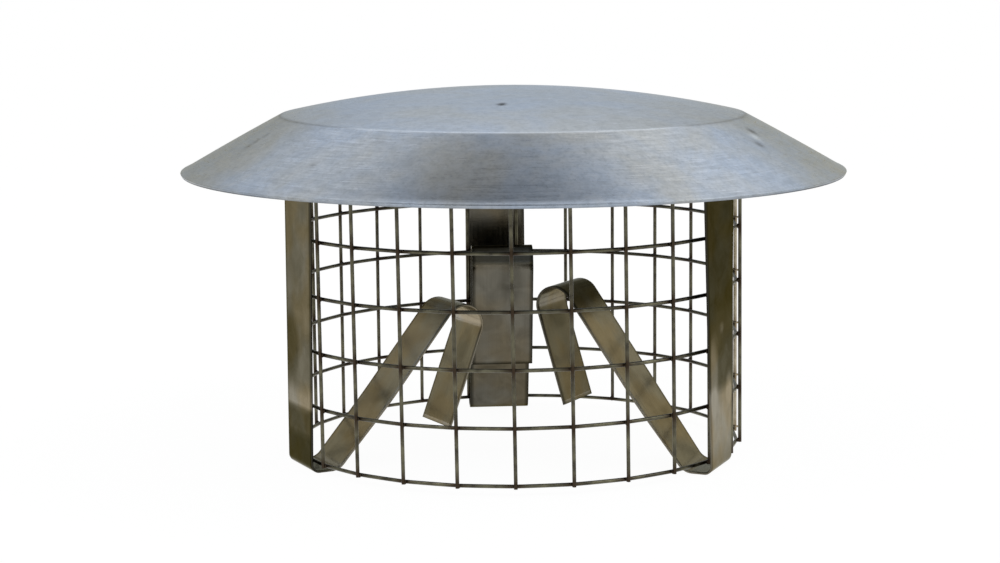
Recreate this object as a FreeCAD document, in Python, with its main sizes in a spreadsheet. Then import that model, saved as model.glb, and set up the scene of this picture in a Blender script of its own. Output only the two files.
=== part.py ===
import FreeCAD, Part
import math
import os

import Sketcher

# Vent bird guard: a spun rain cap over a round cage of one-inch weld mesh, held by three flat
# straps. Each strap is fixed under the cap, runs down outside the cage, turns in under the bottom
# wire and is folded back up inside the cage as a leg.
# Millimetres, +Z up. The origin is on the cage's axis, at the level of the surface that the
# strap bends stand on. The view of the photograph is from -Y.

doc = FreeCAD.newDocument("vent_bird_guard")
sheet = doc.addObject("Spreadsheet::Sheet", "Sizes")

# Driving sizes
SIZES = {
    # weld mesh of the cage
    "mesh_pitch": 25.4,
    "mesh_columns": 26,
    "mesh_rings": 7,
    "wire_diameter": 1.7,
    "wire_flats": 8,
    "weld_gap": 0.03,
    "wire_stub": 0.85,
    "seam_angle": -7.9,
    "knot_rise": 1.3,
    "knot_wire": 1.5,
    "knot_spans": 8,
    "ring_seat": 4.4,
    # spun cap
    "sheet_thickness": 1.5,
    "crease_radius": 108.5,
    "dome_rise": 12.0,
    "crown_flat": 20.0,
    "rim_radius": 155.0,
    "skirt_slope": 30.0,
    "cap_gap": 0.05,
    # every strap
    "strap_width": 30.0,
    "strap_thickness": 1.0,
    "strap_gap": 0.1,
    "toe_radius": 3.5,
    "toe_length": 6.0,
    "heel_radius": 7.5,
    "crown_radius": 2.0,
    "tab_length": 28.0,
    "tab_gap": 0.1,
    # left strap
    "left_direction": 206.8,
    "left_offset": -4.7,
    "left_lean": 50.6,
    "left_leg": 84.1,
    "left_hairpin": 9.3,
    "left_spread": 21.0,
    "left_tail": 47.4,
    # right strap
    "right_direction": 332.9,
    "right_offset": -9.5,
    "right_lean": 54.6,
    "right_leg": 91.1,
    "right_hairpin": 8.5,
    "right_spread": 16.5,
    "right_tail": 45.3,
    # back strap
    "back_direction": 93.0,
    "back_offset": 3.4,
    "back_lean": 66.0,
    "back_leg": 87.7,
    "back_hairpin": 8.5,
    "back_spread": 19.0,
    "back_tail": 51.8,
}
for row, (alias, size) in enumerate(SIZES.items(), start=1):
    sheet.set("A%d" % row, alias)
    sheet.set("B%d" % row, repr(size))
    sheet.setAlias("B%d" % row, alias)
doc.recompute()


def value(formula):
    """The number that a formula over the sheet's sizes gives."""
    return float(sheet.evalExpression(formula.replace("Sizes.", "")))


def bind(item, **formulas):
    """Tie properties of an object to formulas over the sheet's sizes."""
    for name, formula in formulas.items():
        item.setExpression(name.replace("__", "."), formula)


def place_on_axis(item, height):
    """Stand an object on the cage's axis at a height given by a formula."""
    bind(item, Placement__Base__z=height)


# Heights and radii that several pieces share
WIRE_RADIUS = "(Sizes.wire_diameter / 2)"
MESH_RADIUS = "(Sizes.mesh_pitch * Sizes.mesh_columns / (2 * pi))"
RING_RADIUS = "(%s - %s - Sizes.weld_gap)" % (MESH_RADIUS, WIRE_RADIUS)
UPRIGHT_RADIUS = "(%s + %s)" % (MESH_RADIUS, WIRE_RADIUS)
CAGE_TOP = "(Sizes.ring_seat + (Sizes.mesh_rings - 1) * Sizes.mesh_pitch + Sizes.wire_stub)"
CREASE_HEIGHT = "(%s + Sizes.cap_gap + Sizes.sheet_thickness)" % CAGE_TOP
STRAP_RADIUS = "(%s + %s + Sizes.strap_gap + Sizes.strap_thickness / 2)" % (UPRIGHT_RADIUS, WIRE_RADIUS)

COLUMNS = int(value("Sizes.mesh_columns"))
RINGS = int(value("Sizes.mesh_rings"))
parts = []


def new_body(label):
    body = doc.addObject("PartDesign::Body", label)
    body.Label = label
    parts.append(body)
    return body


def new_sketch(body, name, role):
    """A sketch on one of the body's own origin planes."""
    plane = [item for item in body.Origin.OriginFeatures if item.Role == role][0]
    sketch = body.newObject("Sketcher::SketchObject", name)
    sketch.AttachmentSupport = [(plane, "")]
    sketch.MapMode = "FlatFace"
    return sketch


def size_constraint(sketch, name, kind, refs, formula):
    """Add a named dimension and tie it to the sheet."""
    start = value(formula)
    if kind == "Angle":
        start = math.radians(start)
    index = sketch.addConstraint(Sketcher.Constraint(kind, *refs, start))
    sketch.renameConstraint(index, name)
    sketch.setExpression("Constraints." + name, formula)


def link(sketch, kind, *refs):
    sketch.addConstraint(Sketcher.Constraint(kind, *refs))


# Spun cap: one sheet of even thickness, with a small flat at the crown, a shallow dome, a crease
# and a straight skirt
START, END, CENTRE = 1, 2, 3
ORIGIN_X, ORIGIN_Y = -1, -2


def arc_between(centre, radius, first, last):
    """An anticlockwise arc about a centre, from one angle to another, in radians."""
    circle = Part.Circle(FreeCAD.Vector(centre[0], centre[1], 0), FreeCAD.Vector(0, 0, 1), radius)
    return Part.ArcOfCircle(circle, first, last)


def build_cap():
    """The cap's section, in a frame whose origin is level with the crease, turned about the axis."""
    body = new_body("rain_cap")
    place_on_axis(body, CREASE_HEIGHT)
    sketch = new_sketch(body, "cap_section", "XZ_Plane")
    # the dome's circle passes through the crease and the edge of the small flat at the crown
    spread = "Sizes.crease_radius^2 - Sizes.crown_flat^2"
    depth_formula = "(%s - Sizes.dome_rise^2) / (2 * Sizes.dome_rise)" % spread
    dome_formula = "sqrt(Sizes.crease_radius^2 + (%s)^2)" % depth_formula
    sheet_t = value("Sizes.sheet_thickness")
    rise = value("Sizes.dome_rise")
    flat = value("Sizes.crown_flat")
    corner = value("Sizes.crease_radius")
    rim = value("Sizes.rim_radius")
    slope = math.radians(value("Sizes.skirt_slope"))
    dome = value(dome_formula)
    dome_y = -value(depth_formula)
    # the crease is sharp inside, where the two inner faces meet, and round about that corner outside
    normal = (math.sin(slope), math.cos(slope))
    along = (math.cos(slope), -math.sin(slope))
    base = (corner - sheet_t * normal[0], -sheet_t * normal[1] - dome_y)
    half = base[0] * along[0] + base[1] * along[1]
    gap = base[0] ** 2 + base[1] ** 2 - (dome - sheet_t) ** 2
    step = -half - math.sqrt(half ** 2 - gap)
    inner_x = base[0] + step * along[0]
    inner_y = base[1] + step * along[1] + dome_y
    lift = math.atan2(inner_y - dome_y, inner_x)
    skirt_side = math.pi / 2 - slope

    inner_corner = FreeCAD.Vector(inner_x, inner_y, 0)
    bend_end = inner_corner + FreeCAD.Vector(sheet_t * normal[0], sheet_t * normal[1], 0)
    rim_top = FreeCAD.Vector(rim, -(rim - corner) * math.tan(slope), 0)
    rim_low = rim_top - FreeCAD.Vector(sheet_t * normal[0], sheet_t * normal[1], 0)
    flat_low = rise - sheet_t
    flat_low_x = math.sqrt((dome - sheet_t) ** 2 - (flat_low - dome_y) ** 2)
    flat_top_edge = math.atan2(rise - dome_y, flat)
    flat_low_edge = math.atan2(flat_low - dome_y, flat_low_x)

    crown_top = FreeCAD.Vector(0, rise, 0)
    crown_bottom = FreeCAD.Vector(0, flat_low, 0)
    flat_top = sketch.addGeometry(Part.LineSegment(crown_top, FreeCAD.Vector(flat, rise, 0)))
    dome_top = sketch.addGeometry(arc_between((0, dome_y), dome, lift, flat_top_edge))
    bend_top = sketch.addGeometry(arc_between((inner_x, inner_y), sheet_t, skirt_side, lift))
    skirt_top = sketch.addGeometry(Part.LineSegment(bend_end, rim_top))
    rim_edge = sketch.addGeometry(Part.LineSegment(rim_top, rim_low))
    skirt_low = sketch.addGeometry(Part.LineSegment(rim_low, inner_corner))
    dome_low = sketch.addGeometry(arc_between((0, dome_y), dome - sheet_t, lift, flat_low_edge))
    crown_low = sketch.addGeometry(Part.LineSegment(FreeCAD.Vector(flat_low_x, flat_low, 0), crown_bottom))
    apex_edge = sketch.addGeometry(Part.LineSegment(crown_bottom, crown_top))
    corner_point = sketch.addGeometry(Part.Point(FreeCAD.Vector(corner, 0, 0)), True)

    link(sketch, "PointOnObject", flat_top, START, ORIGIN_Y)
    link(sketch, "Horizontal", flat_top)
    link(sketch, "Coincident", flat_top, END, dome_top, END)
    link(sketch, "PointOnObject", dome_top, CENTRE, ORIGIN_Y)
    link(sketch, "Tangent", dome_top, START, bend_top, END)
    link(sketch, "Tangent", bend_top, START, skirt_top, START)
    link(sketch, "Coincident", skirt_top, END, rim_edge, START)
    link(sketch, "Perpendicular", skirt_top, rim_edge)
    link(sketch, "Coincident", rim_edge, END, skirt_low, START)
    link(sketch, "Parallel", skirt_top, skirt_low)
    link(sketch, "Coincident", skirt_low, END, bend_top, CENTRE)
    link(sketch, "Coincident", skirt_low, END, dome_low, START)
    link(sketch, "Coincident", dome_low, CENTRE, dome_top, CENTRE)
    link(sketch, "Coincident", dome_low, END, crown_low, START)
    link(sketch, "Horizontal", crown_low)
    link(sketch, "Coincident", crown_low, END, apex_edge, START)
    link(sketch, "Coincident", apex_edge, END, flat_top, START)
    link(sketch, "Vertical", apex_edge)
    link(sketch, "PointOnObject", corner_point, START, ORIGIN_X)
    link(sketch, "PointOnObject", corner_point, START, skirt_top)
    size_constraint(sketch, "dome_radius", "Radius", (dome_top,), dome_formula)
    axis_start = (ORIGIN_X, START)
    size_constraint(sketch, "rise", "DistanceY", (*axis_start, flat_top, START), "Sizes.dome_rise")
    size_constraint(sketch, "flat", "DistanceX", (*axis_start, flat_top, END), "Sizes.crown_flat")
    size_constraint(sketch, "bend", "Radius", (bend_top,), "Sizes.sheet_thickness")
    size_constraint(sketch, "crown_thickness", "Distance", (apex_edge,), "Sizes.sheet_thickness")
    size_constraint(sketch, "corner", "DistanceX", (*axis_start, corner_point, START), "Sizes.crease_radius")
    size_constraint(sketch, "rim", "DistanceX", (*axis_start, skirt_top, END), "Sizes.rim_radius")
    drop = "(Sizes.rim_radius - Sizes.crease_radius) * tan(Sizes.skirt_slope)"
    size_constraint(sketch, "drop", "DistanceY", (skirt_top, END, *axis_start), drop)
    spin = body.newObject("PartDesign::Revolution", "cap_spin")
    spin.Profile = sketch
    spin.ReferenceAxis = (sketch, ["V_Axis"])
    spin.Angle = 360.0
    body.Tip = spin


build_cap()

# Wires have eight flats in place of a round section, which keeps the cage's many wires light
def ring_of_spans(name, spans, radius, thickness):
    """A closed wire of straight spans with mitred corners, its first span parallel to Y at +X."""
    half_span = "(180 / %s)" % spans
    path = doc.addObject("Part::RegularPolygon", name + "_path")
    bind(path, Polygon=spans, Circumradius=radius, Placement__Rotation__Angle="-" + half_span)
    section = doc.addObject("Part::RegularPolygon", name + "_section")
    section.Placement.Rotation = FreeCAD.Rotation(FreeCAD.Vector(1, 0, 0), 90)
    bind(section, Polygon="Sizes.wire_flats", Circumradius=thickness,
         Placement__Base__x="%s * cos%s" % (radius, half_span),
         Placement__Base__y="-%s * sin%s" % (radius, half_span))
    doc.recompute()
    wire = doc.addObject("Part::Sweep", name)
    wire.Sections = [section]
    wire.Spine = (path, ["Edge%d" % (edge + 1) for edge in range(int(value(spans)))])
    wire.Solid = True
    wire.Frenet = False
    wire.Transition = "Right corner"
    return wire


# Ring wires: each runs round the cage with a slight corner at every upright, where the weld holds it,
# and has its cut end wrapped round the upright at the seam
HALF_COLUMN = "(180 / Sizes.mesh_columns)"
plain_ring = ring_of_spans("plain_ring", "Sizes.mesh_columns", RING_RADIUS, WIRE_RADIUS)
KNOT_RADIUS = "((%s + Sizes.weld_gap + Sizes.knot_wire / 2) / cos(180 / Sizes.knot_spans))" % WIRE_RADIUS


def build_knot(name, rise):
    knot = ring_of_spans(name, "Sizes.knot_spans", KNOT_RADIUS, "(Sizes.knot_wire / 2)")
    bind(knot, Placement__Base__x="%s * cos%s" % (UPRIGHT_RADIUS, HALF_COLUMN),
         Placement__Base__y="-%s * sin%s" % (UPRIGHT_RADIUS, HALF_COLUMN), Placement__Base__z=rise)
    return knot


knot_above = build_knot("knot_above", "Sizes.knot_rise")
knot_below = build_knot("knot_below", "-Sizes.knot_rise")


def build_ring(number):
    ring = doc.addObject("Part::Fuse", "ring_wire_%d" % number)
    ring.Base = plain_ring
    # the top ring lies close under the cap, so its end is wrapped below the wire
    ring.Tool = knot_below if number == RINGS else knot_above
    ring.Label = "ring_wire_%d" % number
    place_on_axis(ring, "Sizes.ring_seat + %d * Sizes.mesh_pitch" % (number - 1))
    bind(ring, Placement__Rotation__Angle="Sizes.seam_angle + " + HALF_COLUMN)
    parts.append(ring)


for number in range(1, RINGS + 1):
    build_ring(number)


# Upright wires: outside the rings, one for each column, the first one at the seam
def build_upright(number):
    wire = doc.addObject("Part::Prism", "upright_wire_%02d" % number)
    wire.Label = "upright_wire_%02d" % number
    turn = "(Sizes.seam_angle + %d * 360 / Sizes.mesh_columns)" % (number - 1)
    bind(wire, Polygon="Sizes.wire_flats", Circumradius=WIRE_RADIUS,
         Height="(Sizes.mesh_rings - 1) * Sizes.mesh_pitch + 2 * Sizes.wire_stub",
         Placement__Rotation__Angle=turn,
         Placement__Base__x="%s * cos%s" % (UPRIGHT_RADIUS, turn),
         Placement__Base__y="%s * sin%s" % (UPRIGHT_RADIUS, turn),
         Placement__Base__z="Sizes.ring_seat - Sizes.wire_stub")
    parts.append(wire)


for number in range(1, COLUMNS + 1):
    build_upright(number)


# Straps: one flat strip each, folded along lines square to its length. A body's own origin is the
# lower end of the straight outer leg, with X pointing away from the cage.
def trace_fold(sketch, heading, steps):
    """Draw a strip's middle line from the origin: straight runs joined by round bends.

    A run is ("run", name, length). A bend is ("bend", name, radius, angle, side), where side is
    1 for a turn to the left and -1 for a turn to the right. Sizes are formulas.
    """
    x, y = 0.0, 0.0
    last = None
    for kind, name, size, *more in steps:
        if kind == "run":
            run = value(size)
            end_x = x + run * math.cos(heading)
            end_y = y + run * math.sin(heading)
            start = FreeCAD.Vector(x, y, 0)
            geometry = sketch.addGeometry(Part.LineSegment(start, FreeCAD.Vector(end_x, end_y, 0)))
            first, final = START, END
            size_constraint(sketch, name, "Distance", (geometry,), size)
            x, y = end_x, end_y
        else:
            angle, side = more
            radius = value(size)
            sweep = math.radians(value(angle))
            middle = (x - side * radius * math.sin(heading), y + side * radius * math.cos(heading))
            begin = heading - side * math.pi / 2
            finish = begin + side * sweep
            low, high = sorted((begin, finish))
            geometry = sketch.addGeometry(arc_between(middle, radius, low, high))
            first, final = (START, END) if side > 0 else (END, START)
            size_constraint(sketch, name + "_radius", "Radius", (geometry,), size)
            size_constraint(sketch, name + "_angle", "Angle", (geometry,), angle)
            x = middle[0] + radius * math.cos(finish)
            y = middle[1] + radius * math.sin(finish)
            heading += side * sweep
        if last is None:
            link(sketch, "Coincident", geometry, first, ORIGIN_X, START)
            if kind == "run":
                link(sketch, "Vertical", geometry)
            else:
                link(sketch, "PointOnObject", geometry, CENTRE, ORIGIN_X)
        else:
            link(sketch, "Tangent", last[0], last[1], geometry, first)
        last = (geometry, final)


def build_strap(side):
    body = new_body("strap_leg_" + side)
    lean = "Sizes.%s_lean" % side
    offset = "Sizes.%s_offset" % side
    direction = "Sizes.%s_direction" % side
    foot_height = "(Sizes.toe_radius + Sizes.strap_thickness / 2)"
    bind(body, Placement__Rotation__Angle=direction,
         Placement__Base__x="%s * cos(%s) - %s * sin(%s)" % (STRAP_RADIUS, direction, offset, direction),
         Placement__Base__y="%s * sin(%s) + %s * cos(%s)" % (STRAP_RADIUS, direction, offset, direction),
         Placement__Base__z=foot_height)

    # The tab lies flat under a round skirt, so its corner farthest from the middle touches first
    crown_x = "(%s + Sizes.crown_radius)" % STRAP_RADIUS
    far_corner = "(abs(%s) + Sizes.strap_width / 2)" % offset
    corner_gap = "(sqrt(%s^2 + %s^2) - %s) * sin(Sizes.skirt_slope)" % (crown_x, far_corner, crown_x)
    below = "(Sizes.sheet_thickness + Sizes.tab_gap + %s + Sizes.crown_radius + Sizes.strap_thickness / 2" \
            " + (%s - Sizes.crease_radius) * sin(Sizes.skirt_slope))" % (corner_gap, crown_x)
    outer_leg = "%s - %s / cos(Sizes.skirt_slope) - %s" % (CREASE_HEIGHT, below, foot_height)

    upper = new_sketch(body, side + "_upper_fold", "XZ_Plane")
    trace_fold(upper, math.pi / 2, [
        ("run", "outer_leg", outer_leg),
        ("bend", "crown", "Sizes.crown_radius", "90 + Sizes.skirt_slope", -1),
        ("run", "tab", "Sizes.tab_length"),
    ])
    lower = new_sketch(body, side + "_lower_fold", "XZ_Plane")
    trace_fold(lower, -math.pi / 2, [
        ("bend", "toe", "Sizes.toe_radius", "90", -1),
        ("run", "sole", "Sizes.toe_length"),
        ("bend", "heel", "Sizes.heel_radius", lean, -1),
        ("run", "inner_leg", "Sizes.%s_leg" % side),
        ("bend", "hairpin", "Sizes.%s_hairpin" % side, "90 + Sizes.%s_spread + %s" % (side, lean), 1),
        ("run", "tail", "Sizes.%s_tail" % side),
    ])
    section = new_sketch(body, side + "_section", "XY_Plane")
    half_x = value("Sizes.strap_thickness / 2")
    half_y = value("Sizes.strap_width / 2")
    corners = [(-half_x, -half_y), (half_x, -half_y), (half_x, half_y), (-half_x, half_y)]
    for index in range(4):
        ends = [FreeCAD.Vector(*corners[(index + step) % 4], 0) for step in (0, 1)]
        section.addGeometry(Part.LineSegment(*ends))
    for index in range(4):
        link(section, "Coincident", index, END, (index + 1) % 4, START)
    link(section, "Horizontal", 0)
    link(section, "Vertical", 1)
    link(section, "Horizontal", 2)
    link(section, "Vertical", 3)
    link(section, "Symmetric", 0, START, 1, END, ORIGIN_X, START)
    size_constraint(section, "thickness", "Distance", (0,), "Sizes.strap_thickness")
    size_constraint(section, "width", "Distance", (1,), "Sizes.strap_width")
    doc.recompute()
    for name, path in (("upper", upper), ("lower", lower)):
        pipe = body.newObject("PartDesign::AdditivePipe", "%s_%s_strip" % (side, name))
        pipe.Profile = section
        pipe.Spine = (path, ["Edge%d" % (edge + 1) for edge in range(len(path.Shape.Edges))])
        body.Tip = pipe
        doc.recompute()


for side in ("left", "right", "back"):
    build_strap(side)
doc.recompute()

# Every object has to be sound before a file is written
for item in doc.Objects:
    if {"Invalid", "Error"} & set(item.State):
        raise RuntimeError("%s did not rebuild" % item.Name)
for part in parts:
    if part.Shape.isNull() or not part.Shape.isValid():
        raise RuntimeError("%s has no sound shape" % part.Label)

os.makedirs("parts", exist_ok=True)
for part in parts:
    part.Shape.exportStep("parts/%s.step" % part.Label)
print(len(parts), "pieces written")
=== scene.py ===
import math

import bmesh
import bpy
from mathutils import Matrix, Vector


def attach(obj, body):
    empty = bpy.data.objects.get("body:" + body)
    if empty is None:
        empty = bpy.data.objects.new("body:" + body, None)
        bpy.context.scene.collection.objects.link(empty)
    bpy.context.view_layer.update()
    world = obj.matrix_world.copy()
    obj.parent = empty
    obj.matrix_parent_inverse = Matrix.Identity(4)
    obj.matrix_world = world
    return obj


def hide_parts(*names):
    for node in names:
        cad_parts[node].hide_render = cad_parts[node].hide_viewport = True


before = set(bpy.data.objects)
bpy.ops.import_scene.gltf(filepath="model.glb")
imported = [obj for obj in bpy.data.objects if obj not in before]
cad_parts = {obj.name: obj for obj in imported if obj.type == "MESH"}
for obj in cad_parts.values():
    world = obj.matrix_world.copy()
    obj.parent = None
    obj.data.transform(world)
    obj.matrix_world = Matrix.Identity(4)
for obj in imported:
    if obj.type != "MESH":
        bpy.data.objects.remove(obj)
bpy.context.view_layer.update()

# Vent bird guard: a spun aluminium rain cap over a round cage of one-inch weld mesh, with three
# folded stainless straps. Metres, +Z up, and the photograph's view is from -Y.
MM = 0.001
BODY = "root"

# Cage
MESH_PITCH = 25.4 * MM
COLUMNS = 26
RINGS = 7
WIRE_RADIUS = 0.85 * MM
WELD_GAP = 0.03 * MM
RING_SEAT = 4.4 * MM
SEAM_ANGLE = math.radians(-7.9)
COLUMN_ANGLE = 2 * math.pi / COLUMNS
MESH_RADIUS = MESH_PITCH * COLUMNS / (2 * math.pi)
RING_RADIUS = MESH_RADIUS - WIRE_RADIUS - WELD_GAP
UPRIGHT_RADIUS = MESH_RADIUS + WIRE_RADIUS
UPRIGHT_LOW = RING_SEAT - WIRE_RADIUS
UPRIGHT_HIGH = RING_SEAT + (RINGS - 1) * MESH_PITCH + WIRE_RADIUS

# Cap
CREASE_RADIUS = 108.5 * MM
DOME_RISE = 11.6 * MM
CROWN_FLAT = 20.0 * MM
RIM_RADIUS = 155.0 * MM
SKIRT_SLOPE = math.radians(30)
SHEET = 1.5 * MM
CAP_GAP = 0.05 * MM
CREASE_HEIGHT = UPRIGHT_HIGH + CAP_GAP + SHEET

# The guard is put together by hand. The cap sits a little out of level: its rise for each metre along
# x and y, and how far it is pressed down. Its skirt is slightly open: its rise for each metre past the
# crease, with a slight curve and a flare at the rim. The cage is twisted, in radians for each metre up.
CAP_TILT_X = -0.0095
CAP_TILT_Y = 0.0095
CAP_DROP = 0.2 * MM
SKIRT_EASE = 0.022
SKIRT_BULGE = 0.3 * MM
RIM_FLARE = 0.3 * MM
FLARE_LENGTH = 4.0 * MM
CAGE_TWIST = -0.06
TWIST_LEVEL = RING_SEAT + 3 * MESH_PITCH

# Straps: direction seen from above, sideways offset, lean of the inner leg, its length, the hairpin's
# radius, how far the tail spreads past upright, and the tail's length, in degrees and mm
STRAP_WIDTH = 30.0 * MM
STRAP_THICKNESS = 1.0 * MM
STRAP_GAP = 0.1 * MM
STRAP_RADIUS = UPRIGHT_RADIUS + WIRE_RADIUS + STRAP_GAP + STRAP_THICKNESS / 2
TOE_RADIUS = 3.5 * MM
TOE_LENGTH = 6.0 * MM
HEEL_RADIUS = 7.5 * MM
CROWN_RADIUS = 2.0 * MM
TAB_LENGTH = 28.0 * MM
TAB_GAP = 0.1 * MM
STRAPS = {
    "left": (206.8, -4.7, 50.6, 84.1, 9.3, 21.0, 47.4),
    "right": (332.9, -9.5, 54.6, 91.1, 8.5, 16.5, 45.3),
    "back": (93.0, 3.4, 66.0, 87.7, 8.5, 19.0, 51.8),
}

# Kinds of node that are used again and again
MATH = "ShaderNodeMath"
MIX = "ShaderNodeMix"
RANGE = "ShaderNodeMapRange"
NOISE = "ShaderNodeTexNoise"
SPLIT = "ShaderNodeSeparateXYZ"
JOIN = "ShaderNodeCombineXYZ"
CIRCLE = "GeometryNodeCurvePrimitiveCircle"
SWEEP = "GeometryNodeCurveToMesh"
INDEX = "GeometryNodeInputIndex"
SET_MATERIAL = "GeometryNodeSetMaterial"


# Small helpers

def linear(code):
    """An sRGB hex colour as linear RGBA."""
    values = [int(code[i:i + 2], 16) / 255 for i in (0, 2, 4)]
    return [v / 12.92 if v <= 0.04045 else ((v + 0.055) / 1.055) ** 2.4 for v in values] + [1.0]


def add(tree, kind, inputs=(), output=0, **settings):
    """Add a node with its settings and links, and give the wanted output, or the node itself.

    Inputs are a list, or go by number or name; each is a number, a colour or another node's output.
    A colour ramp's stops are pairs of a position and a colour.
    """
    node = tree.nodes.new(kind)
    for name, value in settings.items():
        if name == "stops":
            ramp = node.color_ramp.elements
            while len(ramp) < len(value):
                ramp.new(0.5)
            for element, (position, code) in zip(ramp, value):
                element.position = position
                element.color = linear(code)
        else:
            setattr(node, name, value)
    for key, value in (inputs if isinstance(inputs, dict) else dict(enumerate(inputs))).items():
        if isinstance(value, bpy.types.NodeSocket):
            tree.links.new(value, node.inputs[key])
        else:
            node.inputs[key].default_value = value
    return node if output is None or not node.outputs else node.outputs[output]


def smooth_step(low, high, value):
    """A soft change from 0 at low to 1 at high."""
    share = max(0.0, min(1.0, (value - low) / (high - low)))
    return share * share * (3 - 2 * share)


def settle(point, share=1.0):
    """How far a point moves up to follow the cap, which is out of level with its skirt slightly open."""
    past = max(0.0, math.hypot(point.x, point.y) - CREASE_RADIUS)
    down = min(1.0, past / (RIM_RADIUS - CREASE_RADIUS))
    flare = max(0.0, (past - RIM_RADIUS + CREASE_RADIUS) / FLARE_LENGTH + 1)
    skirt = SKIRT_EASE * past + 4 * SKIRT_BULGE * down * (1 - down) + RIM_FLARE * min(flare, 1.0) ** 2
    return share * (CAP_TILT_X * point.x + CAP_TILT_Y * point.y - CAP_DROP + skirt)


def new_object(name, mesh):
    piece = bpy.data.objects.new(name, mesh)
    bpy.context.scene.collection.objects.link(piece)
    return piece


def from_bmesh(name, shape, material):
    mesh = bpy.data.meshes.new(name)
    shape.to_mesh(mesh)
    shape.free()
    mesh.materials.append(material)
    mesh.polygons.foreach_set("use_smooth", [True] * len(mesh.polygons))
    return new_object(name, mesh)


def dress(piece, nodes=()):
    """Let a piece ride on the body and stand for CAD nodes."""
    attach(piece, BODY)
    if nodes:
        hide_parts(*nodes)


# Materials

def new_material(name):
    material = bpy.data.materials.new(name)
    material.use_nodes = True
    material.node_tree.nodes.clear()
    return material, material.node_tree


def spun_aluminium():
    """Aluminium spun on a lathe and brushed round: soft bluish grey with fine rings, old smudges and marks,
    and painted light: a painted highlight along the front of the crease, painted shade along the rest of
    the crease and on the rim's edge.
    """
    material, tree = new_material("spun_aluminium")
    place = add(tree, "ShaderNodeTexCoord", output="Object")
    x, y, _ = add(tree, SPLIT, [place], None).outputs
    radius = add(tree, "ShaderNodeVectorMath", [add(tree, JOIN, [x, y])], 1, operation="LENGTH")
    angle = add(tree, MATH, [x, y], operation="ARCTAN2")

    # Brushing lines are about 0.1 mm apart on the real cap; they are drawn 0.7 mm apart so that they show
    line_gap = 0.7 * MM
    lines_to_radian = 7.0
    around = add(tree, MATH, [angle, lines_to_radian], operation="MULTIPLY")
    across = add(tree, MATH, [radius, 1 / line_gap], operation="MULTIPLY")
    lines = add(tree, NOISE, {"Vector": add(tree, JOIN, [around, across]), "Scale": 1.0, "Detail": 3.0,
                              "Roughness": 0.65}, noise_dimensions="2D")
    # Smudges of handling, 45 mm across, finer clouding of 5 mm, and specks of dust and pitting of 1.5 mm
    smudge = add(tree, NOISE, {"Vector": place, "Scale": 1 / (45 * MM), "Detail": 4.0, "Roughness": 0.6,
                               "Distortion": 0.4})
    cloud = add(tree, NOISE, {"Vector": place, "Scale": 1 / (5 * MM), "Detail": 5.0, "Roughness": 0.7})
    speck = add(tree, NOISE, {"Vector": place, "Scale": 1 / (1.5 * MM), "Detail": 2.0})
    soil = add(tree, "ShaderNodeAttribute", output="Fac", attribute_name="soil")
    rubbed = add(tree, "ShaderNodeAttribute", output="Fac", attribute_name="rubbed")

    # Each layer lies on those before it: its pattern, where it begins, where it is full, how full, colour
    colour = linear("a6a9a9")
    for pattern, start, full, most, code in (
            (smudge, 0.38, 0.62, 1.0, "9fabbb"), (cloud, 0.45, 0.72, 0.45, "bcc1c8"),
            (cloud, 0.5, 0.3, 0.3, "7f858b"), (speck, 0.5, 0.75, 0.38, "7b828a"),
            # The last two layers: dark marks with the painted shade, then light marks with the painted
            # highlight
            (lines, 0.35, 0.65, 0.2, "858b93"), (soil, 0.0, 1.0, 1.0, "4a4640"),
            (rubbed, 0.0, 1.0, 1.0, "dde4ec")):
        mask = add(tree, RANGE, [pattern, start, full, 0.0, most])
        colour = add(tree, MIX, {0: mask, 6: colour, 7: linear(code)}, 2, data_type="RGBA")
    # Where marks or painted shade darken the cap, its gloss is darkened too, also at a flat angle
    edge = add(tree, MIX, {0: soil, 6: linear("ffffff"), 7: linear("4a4640")}, 2, data_type="RGBA")
    rough = add(tree, RANGE, [lines, 0.3, 0.7, 0.27, 0.38])
    round_cap = add(tree, "ShaderNodeTangent", direction_type="RADIAL", axis="Z")
    bump = add(tree, "ShaderNodeBump", {"Strength": 0.1, "Distance": 0.03 * MM, "Height": lines})
    shader = add(tree, "ShaderNodeBsdfPrincipled", {
        "Base Color": colour, "Metallic": 1.0, "Roughness": rough, "Specular Tint": edge,
        "Anisotropic": 0.5, "Tangent": round_cap, "Normal": bump})
    add(tree, "ShaderNodeOutputMaterial", [shader])
    return material


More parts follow.
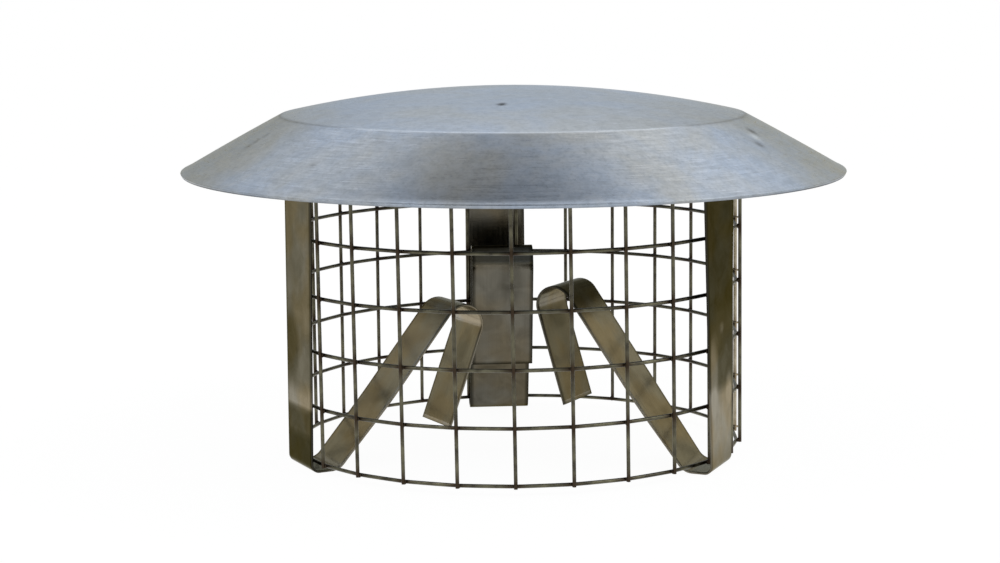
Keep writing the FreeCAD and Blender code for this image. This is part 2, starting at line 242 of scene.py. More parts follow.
def rolled_stainless():
    """Cold-rolled stainless strip: a warm olive-grey satin with a grain along its length, with painted
    reflections in darker and lighter stretches and painted shade on its edges.
    """
    material, tree = new_material("rolled_stainless_strip")
    place = add(tree, "ShaderNodeTexCoord", output="UV")
    # Rolling grain is about 0.1 mm wide on the real strip; it is drawn 0.5 mm wide so that it shows
    grain_length, grain_width = 28 * MM, 0.5 * MM
    grain_place = add(tree, "ShaderNodeMapping", {
        "Vector": place, "Scale": (1 / grain_length, 1 / grain_width, 1.0)}, vector_type="POINT")
    grain = add(tree, NOISE, {"Vector": grain_place, "Scale": 1.0, "Detail": 3.0, "Roughness": 0.6},
                noise_dimensions="2D")
    # Stains, about 11 mm across
    stain = add(tree, NOISE, {"Vector": place, "Scale": 1 / (11 * MM), "Detail": 4.0, "Roughness": 0.6,
                              "Distortion": 0.6}, noise_dimensions="2D")
    stain_mask = add(tree, RANGE, [stain, 0.35, 0.7])
    olive = add(tree, MIX, {0: stain_mask, 6: linear("6f6a5c"), 7: linear("6a6a5e")}, 2, data_type="RGBA")
    # Painted reflections: darker and lighter stretches along the strip, from an attribute
    tone = add(tree, "ShaderNodeAttribute", output="Fac", attribute_name="tone")
    wavy = add(tree, MATH, [stain, 0.3, tone], operation="MULTIPLY_ADD")
    shades = add(tree, "ShaderNodeValToRGB", [add(tree, RANGE, [wavy, 0.13, 1.13])], stops=[
        (0.0, "1c1a13"), (0.25, "464235"), (0.5, "716b5b"), (0.75, "948c7b"), (1.0, "b8b0a0")])
    # Brownish and bluish stretches, about 26 mm long
    drift = add(tree, NOISE, {"Vector": place, "Scale": 1 / (26 * MM), "Detail": 2.0},
                noise_dimensions="2D")
    drift_mask = add(tree, RANGE, [drift, 0.4, 0.6])
    tint = add(tree, MIX, {0: drift_mask, 6: linear("70614a"), 7: linear("6c6f72")}, 2, data_type="RGBA")
    stained = add(tree, MIX, {0: 0.12, 6: shades, 7: olive}, 2, data_type="RGBA")
    toned = add(tree, MIX, {0: 0.28, 6: stained, 7: tint}, 2, data_type="RGBA", blend_type="COLOR")
    grain_mask = add(tree, RANGE, [grain, 0.35, 0.65, 0.0, 0.16])
    colour = add(tree, MIX, {0: grain_mask, 6: toned, 7: linear("4a463a")}, 2, data_type="RGBA")
    rough = add(tree, RANGE, [grain, 0.3, 0.7, 0.15, 0.23])
    bump = add(tree, "ShaderNodeBump", {"Strength": 0.12, "Distance": 0.02 * MM, "Height": grain})
    shader = add(tree, "ShaderNodeBsdfPrincipled", {
        "Base Color": colour, "Metallic": 1.0, "Roughness": rough, "Specular Tint": linear("bab7ab"),
        "Normal": bump})
    add(tree, "ShaderNodeOutputMaterial", [shader])
    return material


def drawn_wire(name, dark, light, burnt):
    """Drawn stainless wire: dark brown-grey, with golden and brown tints of heat round each weld."""
    material, tree = new_material(name)
    place = add(tree, "ShaderNodeTexCoord", output="Object")
    x, y, z = add(tree, SPLIT, [place], None).outputs
    # How far a point is from the nearest weld, along the ring and up the upright, in mm
    angle = add(tree, MATH, [y, x], operation="ARCTAN2")
    turned = add(tree, MATH, [angle, SEAM_ANGLE], operation="SUBTRACT")
    beside = add(tree, MATH, [turned, COLUMN_ANGLE / 2], operation="PINGPONG")
    lifted = add(tree, MATH, [z, RING_SEAT], operation="SUBTRACT")
    above = add(tree, MATH, [lifted, MESH_PITCH / 2], operation="PINGPONG")
    weld_way = add(tree, JOIN, [add(tree, MATH, [beside, MESH_RADIUS / MM], operation="MULTIPLY"),
                                add(tree, MATH, [above, 1 / MM], operation="MULTIPLY")])
    span = add(tree, "ShaderNodeVectorMath", [weld_way], 1, operation="LENGTH")
    # Blotches of about 6 mm, which also make the edge of the heat uneven
    blotch = add(tree, NOISE, {"Vector": place, "Scale": 1 / (6 * MM), "Detail": 3.0})
    heat_edge = add(tree, MATH, [blotch, -6.0, span], operation="MULTIPLY_ADD")
    heat = add(tree, RANGE, [heat_edge, -2.0, 3.5, 1.0, 0.0])
    blotch_mask = add(tree, RANGE, [blotch, 0.35, 0.68])
    steel = add(tree, MIX, {0: blotch_mask, 6: linear(dark), 7: linear(light)}, 2, data_type="RGBA")
    heated = add(tree, MIX, {0: heat, 6: steel, 7: linear(burnt)}, 2, data_type="RGBA")
    rough = add(tree, RANGE, [blotch, 0.3, 0.7, 0.25, 0.45])
    shader = add(tree, "ShaderNodeBsdfPrincipled", {
        "Base Color": heated, "Metallic": 1.0, "Roughness": rough})
    add(tree, "ShaderNodeOutputMaterial", [shader])
    return material


ALUMINIUM = spun_aluminium()
WIRE = drawn_wire("drawn_stainless_wire", "46433a", "74715e", "3d3329")
# A paler copy of the wire, for the seam hooks' cut ends and as a painted highlight on the upright beside
# the seam
CUT_AND_HIGHLIGHT_WIRE = drawn_wire("cut_wire_and_highlight", "9c917b", "c4bba6", "867860")
STRIP = rolled_stainless()


# Cap

def arc(middle, radius, first, last, count):
    """Points along part of a circle, both ends among them."""
    angles = [first + (last - first) * i / count for i in range(count + 1)]
    return [(middle[0] + radius * math.cos(a), middle[1] + radius * math.sin(a)) for a in angles]


def cap_section():
    """Points (radius, height) of the cap's outer face from crown to rim and of its inner face back.

    Also gives how many points the outer face has.
    """
    flat_rows, dome_rows, bend_rows, skirt_rows = 6, 60, 4, 44
    under_rows, under_dome_rows, under_flat_rows = 24, 30, 4
    edge = 0.3 * MM
    quarter = math.pi / 2
    depth = (CREASE_RADIUS ** 2 - CROWN_FLAT ** 2 - DOME_RISE ** 2) / (2 * DOME_RISE)
    dome = math.hypot(CREASE_RADIUS, depth)
    along = (math.cos(SKIRT_SLOPE), -math.sin(SKIRT_SLOPE))
    outward = (math.sin(SKIRT_SLOPE), math.cos(SKIRT_SLOPE))

    def moved(point, run, rise=0.0):
        """A point moved down along the skirt, and off its face."""
        return (point[0] + along[0] * run + outward[0] * rise,
                point[1] + along[1] * run + outward[1] * rise)

    # The inner faces of dome and skirt meet in one point, the centre of the crease's bend
    base = (CREASE_RADIUS - SHEET * outward[0], -SHEET * outward[1] + depth)
    half = base[0] * along[0] + base[1] * along[1]
    gap = base[0] ** 2 + base[1] ** 2 - (dome - SHEET) ** 2
    step = -half - math.sqrt(half ** 2 - gap)
    inner = (base[0] + step * along[0], base[1] + step * along[1] - depth)
    lift = math.atan2(inner[1] + depth, inner[0])
    flat_edge = math.atan2(DOME_RISE + depth, CROWN_FLAT)
    flat_low = DOME_RISE - SHEET
    low_edge = math.atan2(flat_low + depth, math.sqrt((dome - SHEET) ** 2 - (flat_low + depth) ** 2))
    rim = (RIM_RADIUS, -(RIM_RADIUS - CREASE_RADIUS) * math.tan(SKIRT_SLOPE))

    outer = [(CROWN_FLAT * i / flat_rows, DOME_RISE) for i in range(1, flat_rows)]
    outer += arc((0, -depth), dome, flat_edge, lift, dome_rows)
    turn = quarter - SKIRT_SLOPE
    outer += arc(inner, SHEET, lift, turn, bend_rows)[1:]
    start = outer[-1]
    run = math.dist(start, rim) - edge
    outer += [moved(start, run * i / skirt_rows) for i in range(1, skirt_rows + 1)]
    outer += arc(moved(outer[-1], 0.0, -edge), edge, turn, turn - quarter, bend_rows)[1:]
    low = moved(outer[-1], 0.0, 2 * edge - SHEET)
    rim_face = [low] + arc(moved(low, -edge), edge, turn - quarter, turn - 2 * quarter, bend_rows)[1:]
    last = rim_face[-1]
    under = [(last[0] + (inner[0] - last[0]) * i / under_rows,
              last[1] + (inner[1] - last[1]) * i / under_rows) for i in range(1, under_rows + 1)]
    under += arc((0, -depth), dome - SHEET, lift, low_edge, under_dome_rows)[1:]
    under += [(under[-1][0] * (1 - i / under_flat_rows), flat_low) for i in range(1, under_flat_rows)]
    points = [(0.0, DOME_RISE)] + outer + rim_face + under + [(0.0, flat_low)]
    return [(x, z + CREASE_HEIGHT) for x, z in points], len(outer)


# Small marks on the cap: place, radius and depth in mm, and how dark they are (below zero: lighter)
CAP_MARKS = [
    ((-5.3, -59.5), 1.8, 0.4, 0.85),
    ((-4.9, -57.0), 1.5, 0.4, 0.75),
    ((106.6, -49.5), 2.2, 0.12, 0.5),
    ((107.3, -56.5), 2.4, 0.0, -0.6),
    ((108.4, -64.0), 2.2, 0.12, 0.45),
    ((-119.0, -48.4), 1.8, 0.05, 0.25),
    ((-115.4, -47.0), 1.5, 0.05, 0.32),
    ((-111.0, -45.0), 1.8, 0.05, 0.22),
    ((-85.7, -103.0), 1.5, 0.08, 0.35),
]
MARK_REACH = 2.5
CAP_SIDES = 540
# Painted light on the cap: a painted highlight along the front of the crease, out to this angle to each
# side, painted shade along the rest of the crease, and painted shade on the rim's edge, less at the front
HIGHLIGHT_SECTOR = 46
SECTOR_FADE = 8
CREASE_WIDTH = 0.7 * MM
CREASE_HIGHLIGHT = 0.3
CREASE_SHADE = 0.2
RIM_SHADE = 0.6
RIM_FRONT_LIGHTER = 0.35
RIM_ROWS = 4


def build_cap():
    points, outer_count = cap_section()
    shape = bmesh.new()
    soil = shape.verts.layers.float.new("soil")
    rubbed = shape.verts.layers.float.new("rubbed")
    rows = []
    for number, (radius, height) in enumerate(points):
        if radius == 0.0:
            rows.append([shape.verts.new((0, 0, height))])
            continue
        row = []
        for i in range(CAP_SIDES):
            angle = 2 * math.pi * i / CAP_SIDES
            x, y = radius * math.cos(angle), radius * math.sin(angle)
            front = math.degrees(abs(math.atan2(x, -y)))
            middle = max(0.0, min(1.0, (HIGHLIGHT_SECTOR - front) / SECTOR_FADE))
            dent = darkening = bright = 0.0
            if number <= outer_count:
                for (mark_x, mark_y), size, depth, dark in CAP_MARKS:
                    distance = math.hypot(x - mark_x * MM, y - mark_y * MM) / (size * MM)
                    if distance < MARK_REACH:
                        bowl = math.exp(-distance ** 2)
                        dent += depth * MM * bowl
                        darkening = max(darkening, dark * bowl)
                        bright = max(bright, -dark * bowl)
                # Painted highlight along the front of the crease, painted shade along the rest of it
                crease = math.exp(-((radius - CREASE_RADIUS) / CREASE_WIDTH) ** 2)
                darkening = max(darkening, CREASE_SHADE * crease * (1 - middle))
                bright = max(bright, CREASE_HIGHLIGHT * crease * middle)
            # Painted shade on the rim's edge, less at the front
            elif number <= outer_count + RIM_ROWS:
                darkening = RIM_SHADE - RIM_FRONT_LIGHTER * middle
            vertex = shape.verts.new((x, y, height - dent))
            vertex[soil], vertex[rubbed] = darkening, bright
            row.append(vertex)
        rows.append(row)
    for vertex in shape.verts:
        vertex.co.z += settle(vertex.co)
    for first, second in zip(rows, rows[1:]):
        for i in range(CAP_SIDES):
            j = (i + 1) % CAP_SIDES
            a = [first[0]] if len(first) == 1 else [first[i], first[j]]
            b = [second[0]] if len(second) == 1 else [second[j], second[i]]
            shape.faces.new(a + b)
    bmesh.ops.recalc_face_normals(shape, faces=shape.faces)
    dress(from_bmesh("spun_rain_cap", shape, ALUMINIUM), ["rain_cap"])


# Straps

RUN_STEP = 2.0 * MM
BEND_STEP = 8.0


def trace(start, heading, steps):
    """Follow straight runs and bends in a plane: (x, z, heading) of each point, the start among them."""
    x, z = start
    found = [(x, z, heading)]
    for kind, size, angle, side in steps:
        if kind == "run":
            count = max(2, round(size / RUN_STEP))
            for i in range(1, count + 1):
                found.append((x + size * i / count * math.cos(heading),
                              z + size * i / count * math.sin(heading), heading))
        else:
            centre = (x - side * size * math.sin(heading), z + side * size * math.cos(heading))
            count = max(4, round(math.degrees(angle) / BEND_STEP))
            for i in range(1, count + 1):
                turned = heading + side * angle * i / count
                found.append((centre[0] + side * size * math.sin(turned),
                              centre[1] - side * size * math.cos(turned), turned))
            heading += side * angle
        x, z = found[-1][:2]
    return found


def strap_path(lean, leg, hairpin, spread, tail, offset):
    """The strip's middle line in its own plane: (outward, up, heading, distance along the strip)."""
    foot = TOE_RADIUS + STRAP_THICKNESS / 2
    crown_x = STRAP_RADIUS + CROWN_RADIUS
    far = abs(offset) + STRAP_WIDTH / 2
    sine = math.sin(SKIRT_SLOPE)
    corner_gap = (math.hypot(crown_x, far) - crown_x) * sine
    below = (SHEET + TAB_GAP + corner_gap + CROWN_RADIUS + STRAP_THICKNESS / 2
             + (crown_x - CREASE_RADIUS) * sine)
    outer_leg = CREASE_HEIGHT - below / math.cos(SKIRT_SLOPE) - foot

    quarter = math.pi / 2
    start = (STRAP_RADIUS, foot)
    upper = trace(start, quarter, [
        ("run", outer_leg, 0, 0), ("bend", CROWN_RADIUS, quarter + SKIRT_SLOPE, -1),
        ("run", TAB_LENGTH, 0, 0)])
    lower = trace(start, -quarter, [
        ("bend", TOE_RADIUS, quarter, -1), ("run", TOE_LENGTH, 0, 0), ("bend", HEEL_RADIUS, lean, -1),
        ("run", leg, 0, 0), ("bend", hairpin, quarter + spread + lean, 1), ("run", tail, 0, 0)])
    path = [(x, z, heading + math.pi) for x, z, heading in reversed(upper[1:])] + lower
    along = 0.0
    result = []
    for number, (x, z, heading) in enumerate(path):
        if number:
            along += math.dist((x, z), path[number - 1][:2])
        result.append((x, z, heading, along))
    return result


def strip_section():
    """The strip's section: (across, through), anticlockwise, with sheared edges slightly rounded."""
    half, thin, edge = STRAP_WIDTH / 2, STRAP_THICKNESS / 2, 0.3 * MM
    count = 16
    quarter = math.pi / 2
    top = [(half - edge - (2 * half - 2 * edge) * i / count, thin) for i in range(count + 1)]
    side = [(-half, thin - edge), (-half, edge - thin)]
    section = (top + arc((edge - half, thin - edge), edge, quarter, 2 * quarter, 3)[1:3] + side
               + arc((edge - half, edge - thin), edge, 2 * quarter, 3 * quarter, 3)[1:3])
    # The other half is the same, turned half round
    return section + [(-across, -through) for across, through in section]


# Painted reflections along each strip, from dark 0 to light 1: (distance along in mm, painted light)
STRAP_REFLECTIONS = {
    "left": [(0, 0.44), (40, 0.47), (90, 0.5), (125, 0.5), (144, 0.56), (152, 0.84), (155.5, 0.84),
             (157.5, 0.28), (168, 0.28), (170, 0.08), (181, 0.1), (186, 0.5), (200, 0.96), (268, 1.0),
             (285, 0.66), (300, 1.0), (350, 0.96)],
    "right": [(0, 0.05), (40, 0.04), (110, 0.12), (125, 0.26), (143, 0.3), (151, 0.86), (165, 0.92),
              (182, 0.76), (200, 0.94), (275, 0.94), (288, 0.2), (300, 0.5), (310, 0.66), (350, 0.7)],
    "back": [(0, 0.4), (60, 0.4), (150, 0.3), (180, 0.3), (270, 0.3), (284, 0.12), (296, 0.2),
             (310, 0.4), (350, 0.36)],
}
# Pools of painted reflection, darker or lighter: (distance along, across, half length, half width, change),
# in mm
STRAP_REFLECTION_POOLS = {
    "left": [(129, -9.5, 17, 9.5, -0.26), (318, 3.0, 9, 6.0, -0.2), (100, 9.0, 30, 4.0, 0.06),
             (235, 0.0, 4, 20.0, -0.14), (212, 4.0, 3, 14.0, -0.12)],
    "right": [(141, -10.0, 17, 5.5, 0.36), (148, 11.0, 7, 5.0, 0.3), (119, 1.0, 2.5, 2.5, 0.2),
              (240, -4.0, 16, 5.0, -0.12), (222, 3.0, 4, 16.0, -0.12), (320, 2.0, 6, 9.0, -0.14)],
    "back": [(320, -4.0, 12, 6.0, -0.1)],
}
# Painted shade darkens the sheared edges by this much, the cut ends are darker by this much, and an edge is
# this wide in mm
EDGE_SHADE = 0.4
END_DARK = 0.35
EDGE_WIDTH = 0.5

# How the front legs are set by hand, in mm at the top and at the toe: the sideways shift, then the
# turn of the edges
STRAP_SET = {
    "left": ((1.9, -3.5), (-0.2, 0.5)),
    "right": ((-1.0, 2.1), (1.2, -1.3)),
    "back": ((0, 0), (0, 0)),
}
# Distances along the strip, in mm: the outer leg's top and its length, where the inner leg is back in
# its plane, and where the strip no longer follows the cap
LEG_TOP, LEG_LENGTH = 32, 154
BACK_FIRST, BACK_LAST = 190, 240
CAP_FIRST, CAP_LAST = 35, 95
# The strip's two faces lie this far apart in its UV map
FACE_GAP = 0.1


def hand_set(side, distance, across):
    """Sideways and outward shift of a point of the strip."""
    down = max(0.0, min(1.0, (distance - LEG_TOP) / LEG_LENGTH))
    fade = (1 - smooth_step(BACK_FIRST, BACK_LAST, distance)) * MM
    shift, turn = (top + (toe - top) * down for top, toe in STRAP_SET[side])
    return shift * fade, turn * fade * across / (STRAP_WIDTH / 2 / MM)


def painted_light_at(side, distance, across):
    tone = STRAP_REFLECTIONS[side][0][1]
    for (first, low), (last, high) in zip(STRAP_REFLECTIONS[side], STRAP_REFLECTIONS[side][1:]):
        tone += (high - low) * smooth_step(first, last, distance)
    for middle, beside, length, width, change in STRAP_REFLECTION_POOLS[side]:
        reach = ((distance - middle) / length) ** 2 + ((across - beside) / width) ** 2
        tone += change * math.exp(-reach ** 3)
    return tone - (EDGE_SHADE if abs(across) > STRAP_WIDTH / 2 / MM - EDGE_WIDTH else 0.0)


def build_strap(side):
    direction, offset, lean, leg, hairpin, spread, tail = STRAPS[side]
    path = strap_path(math.radians(lean), leg * MM, hairpin * MM, math.radians(spread), tail * MM,
                      offset * MM)
    section = strip_section()
    outward = Vector((math.cos(math.radians(direction)), math.sin(math.radians(direction)), 0))
    sideways = Vector((-outward.y, outward.x, 0))
    shape = bmesh.new()
    tone = shape.verts.layers.float.new("tone")
    strip_map = shape.loops.layers.uv.new("strip")
    rows = []
    for x, z, heading, along in path:
        normal = outward * math.cos(heading + math.pi / 2) + Vector((0, 0, math.sin(heading + math.pi / 2)))
        middle = outward * x + Vector((0, 0, z)) + sideways * offset * MM
        row = []
        for across, through in section:
            aside, out = hand_set(side, along / MM, across / MM)
            point = middle + sideways * (across + aside) + normal * through + outward * out
            point.z += settle(point, 1 - smooth_step(CAP_FIRST, CAP_LAST, along / MM))
            vertex = shape.verts.new(point)
            vertex[tone] = painted_light_at(side, along / MM, across / MM)
            row.append(vertex)
        rows.append(row)
    count = len(section)
    for number, (first, second) in enumerate(zip(rows, rows[1:])):
        for i in range(count):
            j = (i + 1) % count
            face = shape.faces.new((first[i], first[j], second[j], second[i]))
            corners = ((number, i), (number, j), (number + 1, j), (number + 1, i))
            for loop, (row, k) in zip(face.loops, corners):
                across, through = section[k]
                loop[strip_map].uv = (path[row][3], across + (FACE_GAP if through < 0 else 0.0))
    for row, turn in ((rows[0], -1), (rows[-1], 1)):
        shape.faces.new(row[::turn])
        for vertex in row:
            vertex[tone] -= END_DARK
    bmesh.ops.recalc_face_normals(shape, faces=shape.faces)
    dress(from_bmesh(side + "_strap", shape, STRIP), ["strap_leg_" + side])


# Cage, by Geometry Nodes. Its wires follow the set of the cap above the last ring but one.

TOP_SPAN = RING_SEAT + (RINGS - 2) * MESH_PITCH + 2 * MM
CAGE_TOP = RING_SEAT + (RINGS - 1) * MESH_PITCH - WIRE_RADIUS
WIRE_SIDES = 14


def new_tree(name, sizes):
    """A Geometry Nodes tree with one named input for each size."""
    tree = bpy.data.node_groups.new(name, "GeometryNodeTree")
    tree.interface.new_socket("Geometry", in_out="OUTPUT", socket_type="NodeSocketGeometry")
    for label, size in sizes.items():
        kind = "NodeSocketInt" if isinstance(size, int) else "NodeSocketFloat"
        tree.interface.new_socket(label, in_out="INPUT", socket_type=kind)
    return tree, add(tree, "NodeGroupInput", output=None).outputs


def seam_turn(tree, number, count, seam):
    """The angle of a column, counted round from the seam."""
    turns = add(tree, MATH, [number, 2 * math.pi], operation="MULTIPLY")
    turn = add(tree, MATH, [turns, count], operation="DIVIDE")
    return add(tree, MATH, [turn, seam], operation="ADD")


def twisted(tree, angle, height):
    """The angle that a point of the cage has after the twist, at its height."""
    above = add(tree, MATH, [height, TWIST_LEVEL], operation="SUBTRACT")
    return add(tree, MATH, [above, CAGE_TWIST, angle], operation="MULTIPLY_ADD")


def ring_height(tree, level, size):
    """The height of a ring of the cage, counted from 0."""
    return add(tree, MATH, [level, size["Pitch"], size["Seat"]], operation="MULTIPLY_ADD")


def round_place(tree, angle, radius, height):
    """A place on the cage from its angle, radius and height."""
    x, y = (add(tree, MATH, [add(tree, MATH, [angle], operation=way), radius], operation="MULTIPLY")
            for way in ("COSINE", "SINE"))
    return add(tree, JOIN, [x, y, height])


def repeated(tree, shape, count, spot, facing, scale=(1, 1, 1)):
    """A shape repeated at places, each turned its own way."""
    points = add(tree, "GeometryNodePoints", {"Count": count, "Position": spot})
    return add(tree, "GeometryNodeInstanceOnPoints", {
        "Points": points, "Instance": shape, "Rotation": facing, "Scale": scale})


def grow(name, tree, sizes, instances, material, marked=None, other=None):
    """End a tree with real meshes and their material, run it once and keep a plain mesh.

    The marked ones have the other material.
    """
    real = add(tree, "GeometryNodeRealizeInstances", [instances])
    smooth = add(tree, "GeometryNodeSetShadeSmooth", [real])
    painted = add(tree, SET_MATERIAL, {0: smooth, "Material": material})
    if marked:
        painted = add(tree, SET_MATERIAL, {0: painted, "Selection": marked, "Material": other})
    add(tree, "NodeGroupOutput", [painted])
    piece = new_object(name, bpy.data.meshes.new(name))
    modifier = piece.modifiers.new(name, "NODES")
    modifier.node_group = tree
    sockets = {item.name: item.identifier for item in tree.interface.items_tree if item.in_out == "INPUT"}
    for label, size in sizes.items():
        modifier[sockets[label]] = size
    mesh = bpy.data.meshes.new_from_object(piece.evaluated_get(bpy.context.evaluated_depsgraph_get()))
    piece.modifiers.clear()
    for vertex in mesh.vertices:
        vertex.co.z += settle(vertex.co, smooth_step(TOP_SPAN, CAGE_TOP, vertex.co.z))
    piece.data = mesh
    mesh.name = name
    return piece


def build_uprights():
    """The upright wires: one straight wire with trimmed ends, repeated round the cage."""
    sizes = {"Columns": COLUMNS, "Cage radius": UPRIGHT_RADIUS, "Wire radius": WIRE_RADIUS,
             "Low end": UPRIGHT_LOW - TWIST_LEVEL, "High end": UPRIGHT_HIGH - TWIST_LEVEL,
             "Middle": TWIST_LEVEL, "Seam angle": SEAM_ANGLE, "Lean": -CAGE_TWIST * UPRIGHT_RADIUS,
             "Steps": 96, "End share": 0.8}
    tree, size = new_tree("upright_wires", sizes)
    line = add(tree, "GeometryNodeCurvePrimitiveLine", {
        "Start": add(tree, JOIN, {2: size["Low end"]}), "End": add(tree, JOIN, {2: size["High end"]})})
    fine = add(tree, "GeometryNodeResampleCurve", {"Curve": line, "Count": size["Steps"]})
    ends = add(tree, "GeometryNodeCurveEndpointSelection")
    trimmed = add(tree, "GeometryNodeSetCurveRadius", {
        "Curve": fine, "Selection": ends, "Radius": size["End share"]})
    section = add(tree, CIRCLE, {"Resolution": WIRE_SIDES, "Radius": size["Wire radius"]}, mode="RADIUS")
    wire = add(tree, SWEEP, {"Curve": trimmed, "Profile Curve": section, "Fill Caps": True})
    number = add(tree, INDEX)
    angle = seam_turn(tree, number, size["Columns"], size["Seam angle"])
    spot = round_place(tree, angle, size["Cage radius"], size["Middle"])
    facing = add(tree, JOIN, {0: size["Lean"], 2: angle})
    many = repeated(tree, wire, size["Columns"], spot, facing)
    # The upright beside the seam has the paler wire: a painted highlight
    beside = add(tree, "FunctionNodeCompare", {2: number, 3: 1}, data_type="INT", operation="EQUAL")
    marked = add(tree, "GeometryNodeStoreNamedAttribute", {
        "Geometry": many, "Name": "pale", "Value": beside}, data_type="BOOLEAN", domain="INSTANCE")
    pale = add(tree, "GeometryNodeInputNamedAttribute", {"Name": "pale"}, data_type="BOOLEAN")
    piece = grow("upright_wires", tree, sizes, marked, WIRE, pale, CUT_AND_HIGHLIGHT_WIRE)
    dress(piece, ["upright_wire_%02d" % (i + 1) for i in range(COLUMNS)])


def build_rings():
    """The ring wires: each bends a little at every weld and is nearly straight between."""
    sizes = {"Columns": COLUMNS, "Rings": RINGS, "Ring radius": RING_RADIUS, "Wire radius": WIRE_RADIUS,
             "Seat": RING_SEAT, "Pitch": MESH_PITCH, "Seam angle": SEAM_ANGLE, "Flatness": 0.6,
             "Steps": 6.0}
    tree, size = new_tree("ring_wires", sizes)
    count = add(tree, MATH, [size["Columns"], size["Steps"]], operation="MULTIPLY")
    circle = add(tree, CIRCLE, {"Resolution": count, "Radius": 1.0}, mode="RADIUS")
    # How far a point is past the middle between two welds, as an angle, sets how much nearer it lies
    number = add(tree, INDEX)
    past = add(tree, MATH, [number, size["Steps"]], operation="MODULO")
    share = add(tree, MATH, [past, size["Steps"]], operation="DIVIDE")
    half_column = add(tree, MATH, [math.pi, size["Columns"]], operation="DIVIDE")
    sway = add(tree, MATH, [share, 2.0, -1.0], operation="MULTIPLY_ADD")
    off_middle = add(tree, MATH, [sway, half_column], operation="MULTIPLY")
    near, far = (add(tree, MATH, [angle], operation="COSINE") for angle in (half_column, off_middle))
    chord = add(tree, MATH, [near, far], operation="DIVIDE")
    bent = add(tree, MIX, {0: size["Flatness"], 2: 1.0, 3: chord}, data_type="FLOAT")
    reach = add(tree, MATH, [bent, size["Ring radius"]], operation="MULTIPLY")
    angle = seam_turn(tree, number, count, size["Seam angle"])
    shaped = add(tree, "GeometryNodeSetPosition", {
        "Geometry": circle, "Position": round_place(tree, angle, reach, 0.0)})
    section = add(tree, CIRCLE, {"Resolution": WIRE_SIDES, "Radius": size["Wire radius"]}, mode="RADIUS")
    wire = add(tree, SWEEP, {"Curve": shaped, "Profile Curve": section})
    height = ring_height(tree, add(tree, INDEX), size)
    facing = add(tree, JOIN, {2: twisted(tree, 0.0, height)})
    many = repeated(tree, wire, size["Rings"], add(tree, JOIN, {2: height}), facing)
    piece = grow("ring_wires", tree, sizes, many, WIRE)
    dress(piece, ["ring_wire_%d" % (i + 1) for i in range(RINGS)])


def build_welds():
    """The welds: a small flattened bead between ring and upright at every crossing."""
    sizes = {"Columns": COLUMNS, "Rings": RINGS, "Cage radius": MESH_RADIUS, "Bead": 0.8 * MM,
             "Seat": RING_SEAT, "Pitch": MESH_PITCH, "Seam angle": SEAM_ANGLE}
    flattest, fullest = (0.75, 1.25, 1.25), (0.9, 1.6, 1.6)
    tree, size = new_tree("weld_beads", sizes)
    ball = add(tree, "GeometryNodeMeshIcoSphere", {"Radius": size["Bead"], "Subdivisions": 2})
    number = add(tree, INDEX)
    rounds = add(tree, MATH, [number, size["Columns"]], operation="DIVIDE")
    level = add(tree, MATH, [rounds], operation="FLOOR")
    column = add(tree, MATH, [number, size["Columns"]], operation="MODULO")
    height = ring_height(tree, level, size)
    angle = twisted(tree, seam_turn(tree, column, size["Columns"], size["Seam angle"]), height)
    spot = round_place(tree, angle, size["Cage radius"], height)
    count = add(tree, MATH, [size["Columns"], size["Rings"]], operation="MULTIPLY")
    flat = add(tree, "FunctionNodeRandomValue", {0: flattest, 1: fullest, "Seed": 4},
               data_type="FLOAT_VECTOR")
    many = repeated(tree, ball, count, spot, add(tree, JOIN, {2: angle}), flat)
    dress(grow("weld_beads", tree, sizes, many, WIRE))


def build_seam_hooks():
    """The ring wires' cut ends, wrapped round the upright beside the seam."""
    hook_wire = 0.45 * MM
    sizes = {"Rings": RINGS, "Cage radius": UPRIGHT_RADIUS, "Hook wire": hook_wire,
             "Hook radius": WIRE_RADIUS + WELD_GAP + hook_wire, "Seat": RING_SEAT, "Pitch": MESH_PITCH,
             "Seam angle": SEAM_ANGLE + COLUMN_ANGLE, "Rise": 1.3 * MM, "Turn height": 0.7 * MM,
             "Turns": 1.1, "First turn": 2.6, "Hook sides": 12, "Hook steps": 28}
    tree, size = new_tree("seam_hooks", sizes)
    coil = add(tree, "GeometryNodeCurveSpiral", {
        "Resolution": size["Hook steps"], "Rotations": size["Turns"], "Start Radius": size["Hook radius"],
        "End Radius": size["Hook radius"], "Height": size["Turn height"]})
    section = add(tree, CIRCLE, {"Resolution": size["Hook sides"], "Radius": size["Hook wire"]},
                  mode="RADIUS")
    wire = add(tree, SWEEP, {"Curve": coil, "Profile Curve": section, "Fill Caps": True})
    # Each end is wrapped just above its ring, but the top ring's, close under the cap, just below it
    level = add(tree, INDEX)
    last = add(tree, MATH, [size["Rings"], 1.5], operation="SUBTRACT")
    below_top = add(tree, MATH, [last, level], operation="SUBTRACT")
    side = add(tree, MATH, [below_top], operation="SIGN")
    rise = add(tree, MATH, [side, size["Rise"]], operation="MULTIPLY")
    lift = add(tree, MATH, [size["Turn height"], -0.5, rise], operation="MULTIPLY_ADD")
    height = add(tree, MATH, [ring_height(tree, level, size), lift], operation="ADD")
    seam = twisted(tree, size["Seam angle"], height)
    spot = round_place(tree, seam, size["Cage radius"], height)
    facing = add(tree, JOIN, {2: add(tree, MATH, [seam, size["First turn"]], operation="ADD")})
    many = repeated(tree, wire, size["Rings"], spot, facing)
    dress(grow("seam_hooks", tree, sizes, many, CUT_AND_HIGHLIGHT_WIRE))


build_cap()
for strap_side in STRAPS:
    build_strap(strap_side)
build_uprights()
build_rings()
build_welds()
build_seam_hooks()


# Floor, light and camera

FLOOR_HALF = 12.0
# The floor is so much a plain white where the camera or a gloss sees it; the rest takes the shadow
FLOOR_SHARE = 0.94
FLOOR_GLOW = 1.02
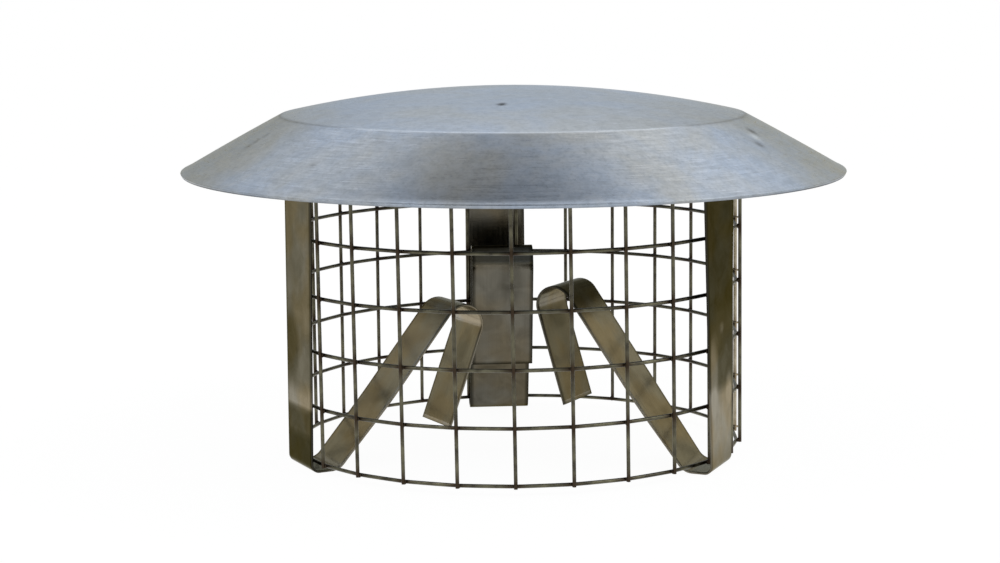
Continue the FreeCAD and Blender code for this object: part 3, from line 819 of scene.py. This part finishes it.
# The way to the middle of the dark ceiling, a little to the left of straight up
CEILING = Vector((-0.05, 0.0, 1.0)).normalized()
LAMP_AIM = (0.0, 0.0, 0.1)
LAMP_SIZE = 0.9
LAMPS = {"soft_key": ((-0.9, -0.7, 1.2), 4.0), "soft_fill": ((1.1, -0.5, 0.9), 3.5)}
CAMERA_PLACE = (-6.95 * MM, -1082 * MM, 233.0 * MM)
CAMERA_PITCH = 0.1411
CAMERA_ROLL = -0.0137
CAMERA_LENS = 83.2


def build_floor():
    """A plain pale floor, plain white where the camera or a gloss sees it, that takes a soft shadow."""
    material, tree = new_material("pale_floor")
    paint = add(tree, "ShaderNodeBsdfDiffuse", [linear("f2f2f2")])
    glow = add(tree, "ShaderNodeEmission", {"Strength": FLOOR_GLOW})
    rays = add(tree, "ShaderNodeLightPath", output=None).outputs
    seen = add(tree, MATH, [rays["Is Camera Ray"], rays["Is Glossy Ray"]], operation="MAXIMUM")
    seen = add(tree, MATH, [seen, rays["Is Transmission Ray"]], operation="MAXIMUM")
    share = add(tree, MATH, [seen, FLOOR_SHARE], operation="MULTIPLY")
    add(tree, "ShaderNodeOutputMaterial", [add(tree, "ShaderNodeMixShader", [share, paint, glow])])
    shape = bmesh.new()
    bmesh.ops.create_grid(shape, x_segments=1, y_segments=1, size=FLOOR_HALF)
    from_bmesh("floor", shape, material)


def build_world():
    """A pale room with a darker ceiling, which the cap's skirt mirrors."""
    world = bpy.data.worlds.new("studio")
    bpy.context.scene.world = world
    world.use_nodes = True
    tree = world.node_tree
    tree.nodes.clear()
    way = add(tree, "ShaderNodeTexCoord", output="Generated")
    sides, _, up = add(tree, SPLIT, [way], None).outputs
    # From the floor up, the walls go from a warm grey to a cool one and to white below the ceiling
    room = add(tree, "ShaderNodeValToRGB", [up], stops=[
        (0.0, "c4c6c4"), (0.12, "c1c9d0"), (0.3, "c9d3de"), (0.6, "eef2f8"), (0.8, "ffffff")])
    tilted = add(tree, "ShaderNodeVectorMath", [way, CEILING], "Value", operation="DOT_PRODUCT")
    ceiling = add(tree, RANGE, [tilted, 0.822, 0.896, 1.0, 0.03], interpolation_type="SMOOTHSTEP")
    lifted = add(tree, RANGE, [up, 0.45, 0.72, 1.0, 1.4])
    aside = add(tree, RANGE, [sides, -0.5, 0.6, 0.92, 1.18])
    level = add(tree, MATH, [ceiling, lifted], operation="MULTIPLY")
    level = add(tree, MATH, [level, aside], operation="MULTIPLY")
    # Low and to both sides of the middle the far wall is duller and warm: the skirt's two ends mirror it
    beside = add(tree, RANGE, [add(tree, MATH, [sides], operation="ABSOLUTE"), 0.1, 0.19])
    low = add(tree, RANGE, [up, 0.47, 0.38])
    dull = add(tree, MATH, [beside, low], operation="MULTIPLY")
    colour = add(tree, MIX, {0: dull, 6: room, 7: linear("b4af99")}, 2, data_type="RGBA")
    walls = add(tree, "ShaderNodeBackground", [colour, level])
    backdrop = add(tree, "ShaderNodeBackground", [linear("ffffff"), 1.0])
    seen = add(tree, "ShaderNodeLightPath", output="Is Camera Ray")
    add(tree, "ShaderNodeOutputWorld", [add(tree, "ShaderNodeMixShader", [seen, walls, backdrop])])


def build_lamps():
    for name, (place, power) in LAMPS.items():
        data = bpy.data.lights.new(name, "AREA")
        data.shape = "DISK"
        data.size = LAMP_SIZE
        data.energy = power
        lamp = new_object(name, data)
        lamp.location = place
        lamp.rotation_euler = (Vector(LAMP_AIM) - Vector(place)).to_track_quat("-Z", "Y").to_euler()


def build_camera():
    """The photograph's view: a long lens a little above the cap, looking slightly down."""
    data = bpy.data.cameras.new("camera")
    data.sensor_width = 36.0
    data.lens = CAMERA_LENS
    data.clip_start = 0.05
    data.clip_end = 60.0
    camera = new_object("camera", data)
    camera.matrix_world = (Matrix.Translation(CAMERA_PLACE)
                           @ Matrix.Rotation(math.pi / 2 - CAMERA_PITCH, 4, "X")
                           @ Matrix.Rotation(CAMERA_ROLL, 4, "Z"))
    bpy.context.scene.camera = camera


build_floor()
build_world()
build_lamps()
build_camera()
bpy.context.scene.view_settings.view_transform = "Standard"

bpy.context.view_layer.update()
